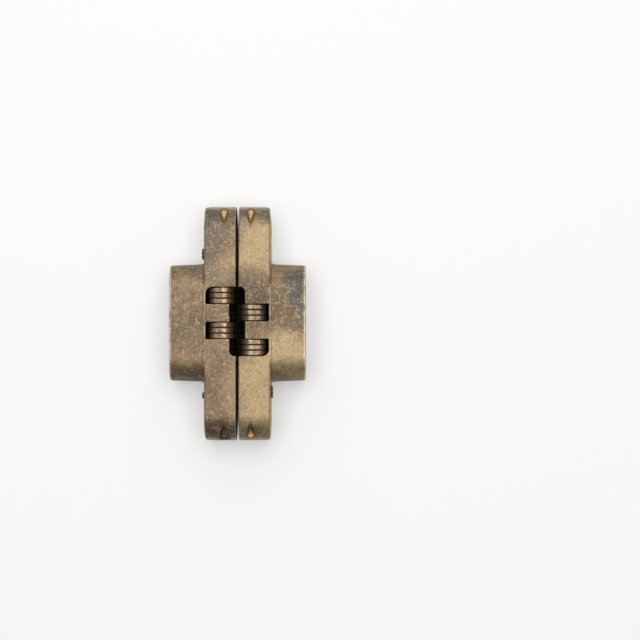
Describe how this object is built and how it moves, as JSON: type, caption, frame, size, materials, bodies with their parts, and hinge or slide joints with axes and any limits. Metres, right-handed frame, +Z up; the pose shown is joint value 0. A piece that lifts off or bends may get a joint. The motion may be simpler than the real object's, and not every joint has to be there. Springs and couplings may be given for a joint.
{
  "type": "concealed mortise door hinge",
  "caption": "Concealed mortise door hinge, shut: two round-ended cast casings joined by a scissor of laminated links on pins, opening 180 degrees.",
  "frame": {"origin": "centre of the rectangle the shut hinge lies on, on its plain flat side", "axes": "+X from the left casing to the right casing, across the closed joint; +Y along the leaves; +Z up through the thickness, from the plain side to the knuckle side"},
  "size_m": [0.0406, 0.0698, 0.0159],
  "materials": {
    "casing_metal": "worn antique-bronze finish on a die casting, dull, with bare yellow patches",
    "link_metal": "copper-brown plated steel stampings, semi-gloss on the rubbed edges",
    "pin_metal": "copper-coloured plated steel, semi-gloss"
  },
  "bodies": {
    "casing_left": {"casing_left": "casing_metal", "fixed_pin_left": "pin_metal"},
    "left_links": {"left_link_1_plate_1": "link_metal", "left_link_1_plate_2": "link_metal", "left_link_1_plate_3": "link_metal", "left_link_2_plate_1": "link_metal", "left_link_2_plate_2": "link_metal", "left_link_2_plate_3": "link_metal", "centre_pin": "pin_metal", "sliding_pin_right": "pin_metal"},
    "right_links": {"right_link_1_plate_1": "link_metal", "right_link_1_plate_2": "link_metal", "right_link_1_plate_3": "link_metal", "right_link_2_plate_1": "link_metal", "right_link_2_plate_2": "link_metal", "right_link_2_plate_3": "link_metal", "sliding_pin_left": "pin_metal"},
    "casing_right": {"casing_right": "casing_metal", "fixed_pin_right": "pin_metal"}
  },
  "joints": [
    {"name": "left_link_turn", "type": "hinge", "parent": "casing_left", "child": "left_links", "pos_m": [-0.00395, 0, 0.01314], "axis": [0, -1, 0], "range_deg": [0, 106]},
    {"name": "link_scissor", "type": "hinge", "parent": "left_links", "child": "right_links", "pos_m": [0, 0, 0.00491], "axis": [0, -1, 0], "range_deg": [-32, 0]},
    {"name": "right_casing_turn", "type": "hinge", "parent": "right_links", "child": "casing_right", "pos_m": [0.00395, 0, 0.01314], "axis": [0, -1, 0], "range_deg": [0, 106]}
  ],
  "couplings": [
    {"joint": "link_scissor", "follows": "left_link_turn", "ratio": -0.30189},
    {"joint": "right_casing_turn", "follows": "left_link_turn", "ratio": 1}
  ]
}
